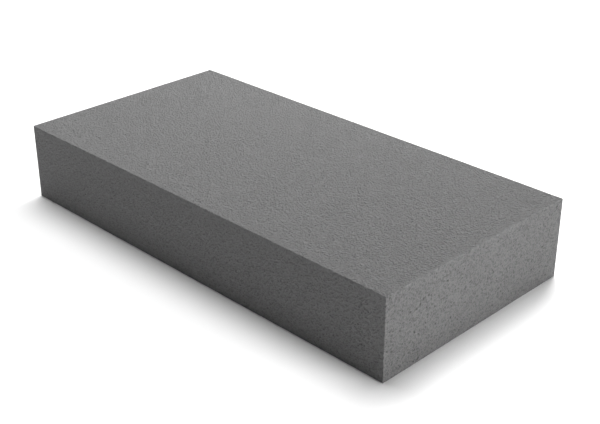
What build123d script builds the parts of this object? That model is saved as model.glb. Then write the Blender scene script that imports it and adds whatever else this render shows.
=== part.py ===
from build123d import *
import os

# A brick of rigid floral foam: one solid piece, sawn square from a larger bun of foam.
# Millimetres, +Z up, +X along the brick. The origin is the middle of the face it rests on.
# The brick is six times as long and three times as wide as it is thick.
THICKNESS = 50.0
WIDTH = 3 * THICKNESS
LENGTH = 6 * THICKNESS

# Sawn foam keeps crisp edges: only the loosest cells along them are rubbed away.
EDGE_RADIUS = 0.4


def foam_brick():
    """The whole brick: a rectangular slab, with every edge very slightly rounded."""
    on_the_floor = (Align.CENTER, Align.CENTER, Align.MIN)
    slab = Box(LENGTH, WIDTH, THICKNESS, align=on_the_floor)
    brick = fillet(slab.edges(), radius=EDGE_RADIUS)
    brick.label = "foam_brick"
    return brick


os.makedirs("parts", exist_ok=True)
for piece in [foam_brick()]:
    export_step(piece, f"parts/{piece.label}.step")
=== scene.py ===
import itertools
import math
import random
from collections import namedtuple

import bmesh
import bpy
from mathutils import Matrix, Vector, noise
from mathutils.geometry import delaunay_2d_cdt


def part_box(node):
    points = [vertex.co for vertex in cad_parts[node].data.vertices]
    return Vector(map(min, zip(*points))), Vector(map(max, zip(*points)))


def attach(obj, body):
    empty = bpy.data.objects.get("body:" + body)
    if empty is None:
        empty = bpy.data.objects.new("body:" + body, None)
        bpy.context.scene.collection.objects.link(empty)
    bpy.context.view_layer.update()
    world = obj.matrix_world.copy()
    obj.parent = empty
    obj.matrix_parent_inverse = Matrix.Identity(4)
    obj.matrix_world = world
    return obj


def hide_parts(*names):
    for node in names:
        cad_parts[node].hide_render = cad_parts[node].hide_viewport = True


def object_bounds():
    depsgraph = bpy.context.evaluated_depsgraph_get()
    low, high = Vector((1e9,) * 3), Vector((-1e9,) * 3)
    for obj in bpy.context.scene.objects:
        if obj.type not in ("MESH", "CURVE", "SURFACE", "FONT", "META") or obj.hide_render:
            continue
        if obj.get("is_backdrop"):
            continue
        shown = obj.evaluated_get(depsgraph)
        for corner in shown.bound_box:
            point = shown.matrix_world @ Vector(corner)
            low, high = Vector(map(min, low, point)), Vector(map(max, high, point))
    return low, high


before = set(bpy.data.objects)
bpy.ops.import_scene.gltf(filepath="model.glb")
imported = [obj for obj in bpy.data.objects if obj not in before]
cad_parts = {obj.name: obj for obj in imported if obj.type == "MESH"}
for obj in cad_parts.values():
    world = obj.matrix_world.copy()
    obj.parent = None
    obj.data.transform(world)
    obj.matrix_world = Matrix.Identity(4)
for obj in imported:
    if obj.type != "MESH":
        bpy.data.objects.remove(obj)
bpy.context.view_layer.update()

# Lengths are in metres, in the row frame. An axis is 0, 1 or 2 for X, Y or Z, a side is -1 or 1,
# and a face is the axis that it lies across and the side of the brick that it is on.
MM = 0.001
NODE = "foam_brick"
LOW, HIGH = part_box(NODE)
CENTRE = (LOW + HIGH) / 2
HALF = (HIGH - LOW) / 2
AXES = (0, 1, 2)
SIDES = (-1, 1)
SEED = 41

# The edges: an arc of this radius, with the loosest cells broken out of it here and there.
EDGE_RADIUS = 0.4 * MM
EDGE_STATION = 1.3 * MM
NICK_CHANCE = 0.04
NICK_DEPTH = (0.03 * MM, 0.10 * MM)
# On and beside the edges the paler tone is partly wear and partly a painted highlight.
BORDER_WEAR_AND_HIGHLIGHT = 0.15  # beside a rounded edge, where 1 is the rubbed edge itself

# The gentle unevenness of every face: (size of a swelling, its height).
RELIEF = ((22 * MM, 0.06 * MM), (5.5 * MM, 0.03 * MM), (2.6 * MM, 0.02 * MM))

# How openly the cells are cut on the faces across X, Y and Z. The ends are freshly sawn, the
# long sides half as open, and the top and the underside are closed skins.
SAWN = (1.0, 0.5, 0.0)
# How much the same faces have been rubbed, where 1 is as much as the edges.
RUBBED = (0.0, 0.4, 0.0)
# How strong CRINKLES, below, are on the skins at the brick's left end and at its right end, their
# painted light and shade with them.
SKIN_CRINKLED = (0.5, 1.3)

# The cells that are large enough to shape in the mesh, largest first. A ring of points is
# (share of the radius, share of the depth, number of points).
PoreKind = namedtuple("PoreKind", "radius per_cm2 rings")
PORE_KINDS = (
    PoreKind((0.70 * MM, 1.05 * MM), 0.5, ((1.0, 0.0, 10), (0.55, 0.72, 6))),
    PoreKind((0.48 * MM, 0.70 * MM), 2.6, ((1.0, 0.0, 8),)),
    PoreKind((0.32 * MM, 0.48 * MM), 5.5, ((1.0, 0.0, 6),)),
)
PORE_SMALLNESS = 1.6  # above 1, most pores of a kind are near its smallest
PORE_DEPTH = 0.50  # times the radius, where SAWN is 1
DIMPLE_DEPTH = 0.30  # times the radius, on a skin
DEPTH_SPREAD = (0.8, 1.15)
PORE_OVAL = 0.14
PORE_UNEVENNESS = 0.05
PORE_OFF_CENTRE = 0.1
PORE_REACH = 1.12  # times the radius, for the room that an uneven pore takes up
PORE_GAP = 0.22 * MM
PORE_TRIES = 12
PORE_SQUARE = 2.8 * MM  # wider than two of the largest pores are apart
BASE_SHARE = 0.35  # the face it stands on has been rubbed, and has fewer open cells
FILL_SPACING = 2.6 * MM
FILL_JITTER = 0.3
CREASE_ANGLE = math.radians(28)

# The texture that is too fine to shape in the mesh. Form is a cell's radius as a share of its
# size, or how much detail a crinkle has. Height is in millimetres, and tone is added to 1, which
# is the foam's own grey; both are (on a skin, on a freshly sawn face).
Layer = namedtuple("Layer", "size form height tone")
# The cells' tone is painted shade: darker down in each cell.
CELLS = (
    Layer(2.0 * MM, 0.42, height=(0.0, -0.40), tone=(0.0, -0.18)),
    Layer(1.4 * MM, 0.50, height=(-0.65, -0.45), tone=(-0.06, -0.22)),
    Layer(0.8 * MM, 0.52, height=(-0.24, -0.24), tone=(-0.10, -0.18)),
)
# The crinkles' tone is partly the foam's own speckle and partly painted light and shade on them:
# paler where they rise, darker where they sink.
CRINKLES = (
    Layer(1.2 * MM, 2.0, height=(1.1, 0.42), tone=(0.13, 0.23)),
    Layer(0.6 * MM, 2.0, height=(0.08, 0.08), tone=(0.08, 0.14)),
)
# Painted shade: darker towards the bottom of a pore that is shaped in the mesh, on sawn faces.
PORE_SHADE = (0.0, -0.40)  # at the bottom of a pore that is shaped in the mesh
# Slow, faint clouds over the whole brick.
MOTTLE_SIZE = 30 * MM
MOTTLE_DETAIL = 3.0
MOTTLE_TONE = 0.035
# Where the foam is rubbed it is paler, and this share of the fine height is gone. Along the edges
# the paler tone is partly rubbed foam and partly a painted highlight.
WEAR_AND_HIGHLIGHT_TONE = 0.10
WORN_FLATTENS = 0.8
FOAM_GREY = 0.17
ROUGHNESS = 0.91  # where the tone is 1
# The walls between cells are paler than the painted shade inside the cells.
ROUGHNESS_BY_TONE = -0.12  # the paler walls between cells are a little smoother
SPECULAR = 0.3

# The camera: where it looks, and from where. Its angles are measured as the studio's are.
CAMERA_AZIMUTH = 44.97
CAMERA_ELEVATION = 26.87
CAMERA_DISTANCE = 0.6728
CAMERA_TARGET = Vector((0.02296, -0.00586, 0.025))
SENSOR_WIDTH = 36.0
LENS = 67.96

# The studio. Angles are in degrees: azimuth 0 is in front of the brick (-Y), 90 to its right
# (+X), and elevation is above the horizon. A sun's width is an angle too.
FLOOR_REACH = 8.0
FLOOR_GREY = 0.9
FLOOR_ROUGHNESS = 0.9
ROOM_FILL = 0.015
Sun = namedtuple("Sun", "name azimuth elevation width strength")
OVERHEAD = Sun("overhead", 225, 72, 40, 3.34)
Softbox = namedtuple("Softbox", "name azimuth elevation distance size watts")
SOFTBOXES = (
    Softbox("near", 193, 46, 0.60, 0.30, 3.25),
    Softbox("right", 90, 4, 0.45, 0.18, 1.07),
    Softbox("left", 286, 15, 0.70, 0.35, 0.95),
)


class Skin:
    """The brick's surface: points held as a place on an inner box and a direction out of it."""

    def __init__(self, half, radius):
        self.inner = [h - radius for h in half]
        self.radius = radius
        self.points = []
        self.faces = []
        self.marks = {"cavity": [], "sawn": [], "wear_and_highlight": [], "crinkled": []}
        self.shared = {}

    def add(self, anchor, way, sunk=0.0, cavity=0.0, wear_and_highlight=0.0):
        """One point: out of the inner box at anchor, along way, pressed in by sunk."""
        way = Vector(way).normalized()
        place = CENTRE + Vector(anchor)
        lift = self.radius + relief(place + way * self.radius) - sunk
        self.points.append(place + way * lift)
        self.marks["cavity"].append(cavity)
        self.marks["sawn"].append(largest(SAWN, way))
        self.marks["wear_and_highlight"].append(max(wear_and_highlight, largest(RUBBED, way)))
        self.marks["crinkled"].append(crinkled(place, way))
        return len(self.points) - 1

    def shared_point(self, anchor, way, sunk=0.0):
        """A point that two or more of the faces and edges have in common."""
        key = tuple(round(a / MM, 4) for a in anchor) + tuple(way)
        if key not in self.shared:
            ridge = sum(1 for part in way if part) > 1
            # On and beside an edge, the mark is wear and a painted highlight.
            self.shared[key] = self.add(anchor, way, sunk, wear_and_highlight=1.0 if ridge else BORDER_WEAR_AND_HIGHLIGHT)
        return self.shared[key]


def largest(by_axis, way):
    """The largest of the values that belong to the faces that way leads out of."""
    return max(value for value, part in zip(by_axis, way) if part)


def crinkled(place, way):
    """How strong the crinkles are: 1 on a sawn face, and growing from left to right on a skin."""
    if largest(SAWN, way):
        return 1.0
    left, right = SKIN_CRINKLED
    return left + (right - left) * (place.x - LOW.x) / (HIGH.x - LOW.x)


def relief(place):
    """How far the surface swells at a place: slow, shallow unevenness of three sizes."""
    return sum(height * noise.noise(place / size) for size, height in RELIEF)


def stations(half_length):
    """Positions along an edge, evenly spaced from one end to the other."""
    count = max(2, round(2 * half_length / EDGE_STATION))
    return [half_length * (2 * k / count - 1) for k in range(count + 1)]


def vector_with(values):
    """A three-number tuple from {axis: value}, with zeros elsewhere."""
    return tuple(values.get(axis, 0.0) for axis in AXES)


def edge_strip(skin, axis, side_b, side_c, rng):
    """The rounded edge along axis, between the two faces that meet there."""
    b, c = (axis + 1) % 3, (axis + 2) % 3
    ways = (
        vector_with({b: side_b}),
        vector_with({b: side_b, c: side_c}),
        vector_with({c: side_c}),
    )
    rows = []
    along = stations(skin.inner[axis])
    for t in along:
        anchor = vector_with({axis: t, b: side_b * skin.inner[b], c: side_c * skin.inner[c]})
        nicked = abs(t) < along[-1] and rng.random() < NICK_CHANCE
        sunk = rng.uniform(*NICK_DEPTH) if nicked else 0.0
        rows.append([
            skin.shared_point(anchor, ways[0]),
            skin.shared_point(anchor, ways[1], sunk),
            skin.shared_point(anchor, ways[2]),
        ])
    for here, there in zip(rows, rows[1:]):
        skin.faces.append((here[0], here[1], there[1], there[0]))
        skin.faces.append((here[1], here[2], there[2], there[1]))


def corner_patch(skin, sides):
    """The three small faces that close the brick at a corner."""
    anchor = [side * inner for side, inner in zip(sides, skin.inner)]
    tip = skin.shared_point(anchor, sides)
    for a in AXES:
        b, c = (a + 1) % 3, (a + 2) % 3
        flat = skin.shared_point(anchor, vector_with({a: sides[a]}))
        to_b = skin.shared_point(anchor, vector_with({a: sides[a], b: sides[b]}))
        to_c = skin.shared_point(anchor, vector_with({a: sides[a], c: sides[c]}))
        skin.faces.append((flat, to_b, tip, to_c))


Pore = namedtuple("Pore", "u v radius rings")


class Pores:
    """The pores of one face, sorted into squares so that a place's neighbours are found fast."""

    def __init__(self):
        self.all = []
        self.squares = {}

    def square(self, u, v):
        return int(u // PORE_SQUARE), int(v // PORE_SQUARE)

    def add(self, pore):
        self.all.append(pore)
        self.squares.setdefault(self.square(pore.u, pore.v), []).append(pore)

    def near(self, u, v):
        """The pores in a place's square and in the eight squares around it."""
        column, line = self.square(u, v)
        for i, j in itertools.product((-1, 0, 1), repeat=2):
            yield from self.squares.get((column + i, line + j), ())

    def leave_room(self, u, v, radius):
        """Whether something of that radius fits there, clear of every pore."""
        return all(
            math.hypot(u - pore.u, v - pore.v) > PORE_REACH * (radius + pore.radius) + PORE_GAP
            for pore in self.near(u, v)
        )


def scatter(half_u, half_v, share, rng):
    """The pores of one face, which don't touch each other or its border."""
    pores = Pores()
    area = 4 * half_u * half_v / (10 * MM) ** 2
    for kind in PORE_KINDS:
        smallest, largest = kind.radius
        for _ in range(round(area * kind.per_cm2 * share)):
            radius = smallest + (largest - smallest) * rng.random() ** PORE_SMALLNESS
            room = PORE_REACH * radius + PORE_GAP
            for _ in range(PORE_TRIES):
                u = rng.uniform(room - half_u, half_u - room)
                v = rng.uniform(room - half_v, half_v - room)
                if pores.leave_room(u, v, radius):
                    pores.add(Pore(u, v, radius, kind.rings))
                    break
    return pores


def pore_points(pore, rng):
    """The points of one pore as (u, v, share of its depth): irregular rings and its bottom."""
    turn = rng.uniform(0, 2 * math.pi)
    lean = rng.uniform(0, 2 * math.pi)
    oval = rng.uniform(0, PORE_OVAL)
    points = []
    for share, depth, count in pore.rings:
        for k in range(count):
            angle = turn + 2 * math.pi * k / count
            stretch = 1 + oval * math.cos(2 * (angle - lean))
            stretch += rng.uniform(-PORE_UNEVENNESS, PORE_UNEVENNESS)
            reach = pore.radius * share * stretch
            u = pore.u + reach * math.cos(angle)
            v = pore.v + reach * math.sin(angle)
            points.append((u, v, depth))
    off = PORE_OFF_CENTRE * pore.radius
    points.append((pore.u + rng.uniform(-off, off), pore.v + rng.uniform(-off, off), 1.0))
    return points


def pore_depth(pore, sawn, is_base, rng):
    """How far a pore sinks in. On a skin it is a shallow dimple, or as often a bump, but nothing
    stands out of the face that the brick rests on."""
    depth = pore.radius * rng.uniform(*DEPTH_SPREAD)
    if sawn:
        return depth * PORE_DEPTH * sawn
    return depth * DIMPLE_DEPTH * (1 if is_base else rng.choice(SIDES))


def fill_points(half_u, half_v, pores, rng):
    """Points on the bare stretches between pores, on a jittered lattice."""
    columns, lines = int(2 * half_u / FILL_SPACING), int(2 * half_v / FILL_SPACING)
    for i, j in itertools.product(range(1, columns), range(1, lines)):
        u = half_u * (2 * (i + rng.uniform(-FILL_JITTER, FILL_JITTER)) / columns - 1)
        v = half_v * (2 * (j + rng.uniform(-FILL_JITTER, FILL_JITTER)) / lines - 1)
        if pores.leave_room(u, v, PORE_GAP):
            yield u, v


def border_points(half_u, half_v):
    """The points round a face, in order, at the stations of its four edges."""
    along_u, along_v = stations(half_u), stations(half_v)
    points = [(t, -half_v) for t in along_u[:-1]]
    points += [(half_u, t) for t in along_v[:-1]]
    points += [(t, half_v) for t in along_u[:0:-1]]
    points += [(-half_u, t) for t in along_v[:0:-1]]
    return points


def flat_face(skin, axis, side, rng):
    """One of the six faces: its border, its pores and what lies between, joined into triangles."""
    a, b = (axis + 1) % 3, (axis + 2) % 3
    half_a, half_b = skin.inner[a], skin.inner[b]
    way = vector_with({axis: side})

    def anchor(u, v):
        return vector_with({axis: side * skin.inner[axis], a: u, b: v})

    flat = border_points(half_a, half_b)
    outline = list(range(len(flat)))
    indices = [skin.shared_point(anchor(u, v), way) for u, v in flat]
    is_base = way == (0, 0, -1)
    pores = scatter(half_a, half_b, BASE_SHARE if is_base else 1.0, rng)
    for pore in pores.all:
        deep = pore_depth(pore, SAWN[axis], is_base, rng)
        for u, v, share in pore_points(pore, rng):
            flat.append((u, v))
            # The painted shade of a pore's point: its share of the pore's depth, where the pore
            # sinks in.
            cavity = share if deep > 0 else 0.0
            indices.append(skin.add(anchor(u, v), way, sunk=deep * share, cavity=cavity))
    for u, v in fill_points(half_a, half_b, pores, rng):
        flat.append((u, v))
        indices.append(skin.add(anchor(u, v), way))

    # Millimetres keep the triangulation's numbers near 1.
    keep_inside, tolerance = 1, 1e-5
    made = delaunay_2d_cdt([Vector(p) / MM for p in flat], [], [outline], keep_inside, tolerance)
    triangles, sources = made[2], made[3]
    for triangle in triangles:
        skin.faces.append(tuple(indices[sources[corner][0]] for corner in triangle))


def crease(shell, rounded):
    """Smooth shading along the rounded edges, which are the first faces, and a crisp line beside
    them. On the six faces, only the rims of the deeper cells are crisp."""
    for edge in shell.edges:
        on_edge = [face.index < rounded for face in edge.link_faces]
        if all(on_edge):
            edge.smooth = True
        elif any(on_edge):
            edge.smooth = False
        else:
            edge.smooth = edge.calc_face_angle() < CREASE_ANGLE


def brick_mesh():
    """The whole brick as one closed mesh."""
    rng = random.Random(SEED)
    skin = Skin(HALF, EDGE_RADIUS)
    for axis, side_b, side_c in itertools.product(AXES, SIDES, SIDES):
        edge_strip(skin, axis, side_b, side_c, rng)
    for sides in itertools.product(SIDES, repeat=3):
        corner_patch(skin, sides)
    rounded = len(skin.faces)
    for axis, side in itertools.product(AXES, SIDES):
        flat_face(skin, axis, side, rng)

    mesh = bpy.data.meshes.new("foam_brick_skin")
    mesh.from_pydata([tuple(p) for p in skin.points], [], skin.faces)
    mesh.shade_smooth()
    shell = bmesh.new()
    shell.from_mesh(mesh)
    bmesh.ops.recalc_face_normals(shell, faces=shell.faces)
    crease(shell, rounded)
    shell.to_mesh(mesh)
    shell.free()
    for name, values in skin.marks.items():
        mesh.attributes.new(name, "FLOAT", "POINT").data.foreach_set("value", values)
    return mesh


class Graph:
    """A material's nodes. Values given to a node are numbers or other nodes' outputs."""

    def __init__(self, tree):
        self.tree = tree

    def node(self, kind, settings=None, **inputs):
        """A new node, with its settings and its input sockets filled in by name."""
        made = self.tree.nodes.new(kind)
        for name, value in (settings or {}).items():
            setattr(made, name, value)
        for name, value in inputs.items():
            self.feed(made.inputs[name.replace("_", " ")], value)
        return made

    def feed(self, socket, value):
        """Links or sets one input socket."""
        if isinstance(value, bpy.types.NodeSocket):
            self.tree.links.new(value, socket)
        else:
            socket.default_value = value

    def mark(self, name):
        """A value that the mesh carries at its points."""
        return self.node("ShaderNodeAttribute", {"attribute_name": name}).outputs["Fac"]

    def math(self, operation, *values, clamp=False):
        """The result of a sum on one, two or three values."""
        made = self.node("ShaderNodeMath", {"operation": operation, "use_clamp": clamp})
        for socket, value in zip(made.inputs, values):
            self.feed(socket, value)
        return made.outputs[0]

    def between(self, share, ends):
        """A value that goes from the first of two numbers to the second as share goes to 1."""
        first, second = ends
        if first == second:
            return first
        return self.math("MULTIPLY_ADD", share, second - first, first)

    def noise(self, place, size, detail):
        """Smooth noise around 0, from about -1 to 1, with lumps of a size in metres."""
        made = self.node("ShaderNodeTexNoise", Vector=place, Scale=1 / size, Detail=detail)
        return self.math("MULTIPLY_ADD", made.outputs["Fac"], 2.0, -1.0)

    def cells(self, place, size, reach):
        """Cut-open round cells: 0 on the face, rising to 1 in the deepest. reach is their radius
        as a share of size. A cell is as wide as the face happens to cut it."""
        made = self.node("ShaderNodeTexVoronoi", Vector=place, Scale=1 / size)
        inside = self.math("DIVIDE", made.outputs["Distance"], reach)
        return self.math("SUBTRACT", 1.0, self.math("MULTIPLY", inside, inside), clamp=True)


def foam_material():
    """Rigid charcoal foam: a matte grey, cut through cells of several sizes."""
    material = bpy.data.materials.new("foam")
    material.use_nodes = True
    graph = Graph(material.node_tree)
    shader = material.node_tree.nodes["Principled BSDF"]
    place = graph.node("ShaderNodeTexCoord").outputs["Object"]
    sawn = graph.mark("sawn")
    wear_and_highlight = graph.mark("wear_and_highlight")

    mottle = graph.noise(place, MOTTLE_SIZE, MOTTLE_DETAIL)
    tone = graph.math("MULTIPLY_ADD", mottle, MOTTLE_TONE, 1.0)
    # Painted shade in the pores that are shaped in the mesh.
    tone = graph.math("MULTIPLY_ADD", graph.mark("cavity"), graph.between(sawn, PORE_SHADE), tone)
    # Paler where rubbed. Along the edges this is partly a painted highlight.
    tone = graph.math("MULTIPLY_ADD", wear_and_highlight, WEAR_AND_HIGHLIGHT_TONE, tone)
    height = 0.0
    layers = [(graph.cells(place, layer.size, layer.form), layer) for layer in CELLS]
    for layer in CRINKLES:
        crinkles = graph.noise(place, layer.size, layer.form)
        layers.append((graph.math("MULTIPLY", crinkles, graph.mark("crinkled")), layer))
    # A layer's tone is painted shade in the cells. In the crinkles it is partly speckle and partly
    # painted light and shade.
    for pattern, layer in layers:
        tone = graph.math("MULTIPLY_ADD", pattern, graph.between(sawn, layer.tone), tone)
        height = graph.math("MULTIPLY_ADD", pattern, graph.between(sawn, layer.height), height)
    height = graph.math("MULTIPLY", height, graph.between(wear_and_highlight, (1.0, 1.0 - WORN_FLATTENS)))
    bump = graph.node("ShaderNodeBump", Height=height, Distance=MM, Strength=1.0)

    # The first of these is the roughness that a tone of 0 would have.
    rough_from_tone = (ROUGHNESS - ROUGHNESS_BY_TONE, ROUGHNESS)
    graph.feed(shader.inputs["Base Color"], graph.math("MULTIPLY", tone, FOAM_GREY))
    graph.feed(shader.inputs["Roughness"], graph.between(tone, rough_from_tone))
    graph.feed(shader.inputs["Normal"], bump.outputs["Normal"])
    shader.inputs["Specular IOR Level"].default_value = SPECULAR
    return material


def link(name, data):
    """A new object in the scene, turned by a quaternion."""
    made = bpy.data.objects.new(name, data)
    bpy.context.scene.collection.objects.link(made)
    made.rotation_mode = "QUATERNION"
    return made


def brick():
    """The foam brick, in place of its plain CAD solid."""
    mesh = brick_mesh()
    mesh.materials.append(foam_material())
    piece = link("foam_brick_visual", mesh)
    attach(piece, "root")
    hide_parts(NODE)


def direction(azimuth, elevation):
    """The unit vector from the brick towards that azimuth and elevation, in degrees."""
    a, e = math.radians(azimuth), math.radians(elevation)
    return Vector((math.sin(a) * math.cos(e), -math.cos(a) * math.cos(e), math.sin(e)))


def camera():
    data = bpy.data.cameras.new("camera")
    data.sensor_width = SENSOR_WIDTH
    data.lens = LENS
    view = link("camera", data)
    away = direction(CAMERA_AZIMUTH, CAMERA_ELEVATION)
    view.location = CAMERA_TARGET + away * CAMERA_DISTANCE
    view.rotation_quaternion = away.to_track_quat("Z", "Y")
    bpy.context.scene.camera = view


def floor(level):
    """A plain pale floor at a height, as far as can be seen."""
    mesh = bpy.data.meshes.new("floor")
    square = ((-1, -1), (1, -1), (1, 1), (-1, 1))
    corners = [(x * FLOOR_REACH, y * FLOOR_REACH, level) for x, y in square]
    mesh.from_pydata(corners, [], [(0, 1, 2, 3)])
    material = bpy.data.materials.new("floor")
    material.use_nodes = True
    shader = material.node_tree.nodes["Principled BSDF"]
    shader.inputs["Base Color"].default_value = (FLOOR_GREY, FLOOR_GREY, FLOOR_GREY, 1)
    shader.inputs["Roughness"].default_value = FLOOR_ROUGHNESS
    mesh.materials.append(material)
    link("floor", mesh)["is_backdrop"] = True


def sun(lamp):
    """A wide, far light that reaches the whole floor alike."""
    data = bpy.data.lights.new(lamp.name, "SUN")
    data.angle = math.radians(lamp.width)
    data.energy = lamp.strength
    light = link(lamp.name, data)
    light.rotation_quaternion = direction(lamp.azimuth, lamp.elevation).to_track_quat("Z", "Y")


def softbox(lamp):
    """A square softbox that faces the brick."""
    data = bpy.data.lights.new(lamp.name, "AREA")
    data.shape = "SQUARE"
    data.size = lamp.size
    data.energy = lamp.watts
    light = link(lamp.name, data)
    away = direction(lamp.azimuth, lamp.elevation)
    light.location = CENTRE + away * lamp.distance
    light.rotation_quaternion = away.to_track_quat("Z", "Y")
    light.visible_camera = False


def room():
    """White walls to look at, which add only a little fill light of their own."""
    world = bpy.data.worlds.new("room")
    bpy.context.scene.world = world
    world.use_nodes = True
    graph = Graph(world.node_tree)
    looked_at = graph.node("ShaderNodeLightPath").outputs["Is Camera Ray"]
    walls = world.node_tree.nodes["Background"]
    graph.feed(walls.inputs["Color"], (1, 1, 1, 1))
    graph.feed(walls.inputs["Strength"], graph.between(looked_at, (ROOM_FILL, 1.0)))


brick()
camera()
floor(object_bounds()[0].z)
room()
sun(OVERHEAD)
for lamp in SOFTBOXES:
    softbox(lamp)
bpy.context.scene.view_settings.view_transform = "Standard"
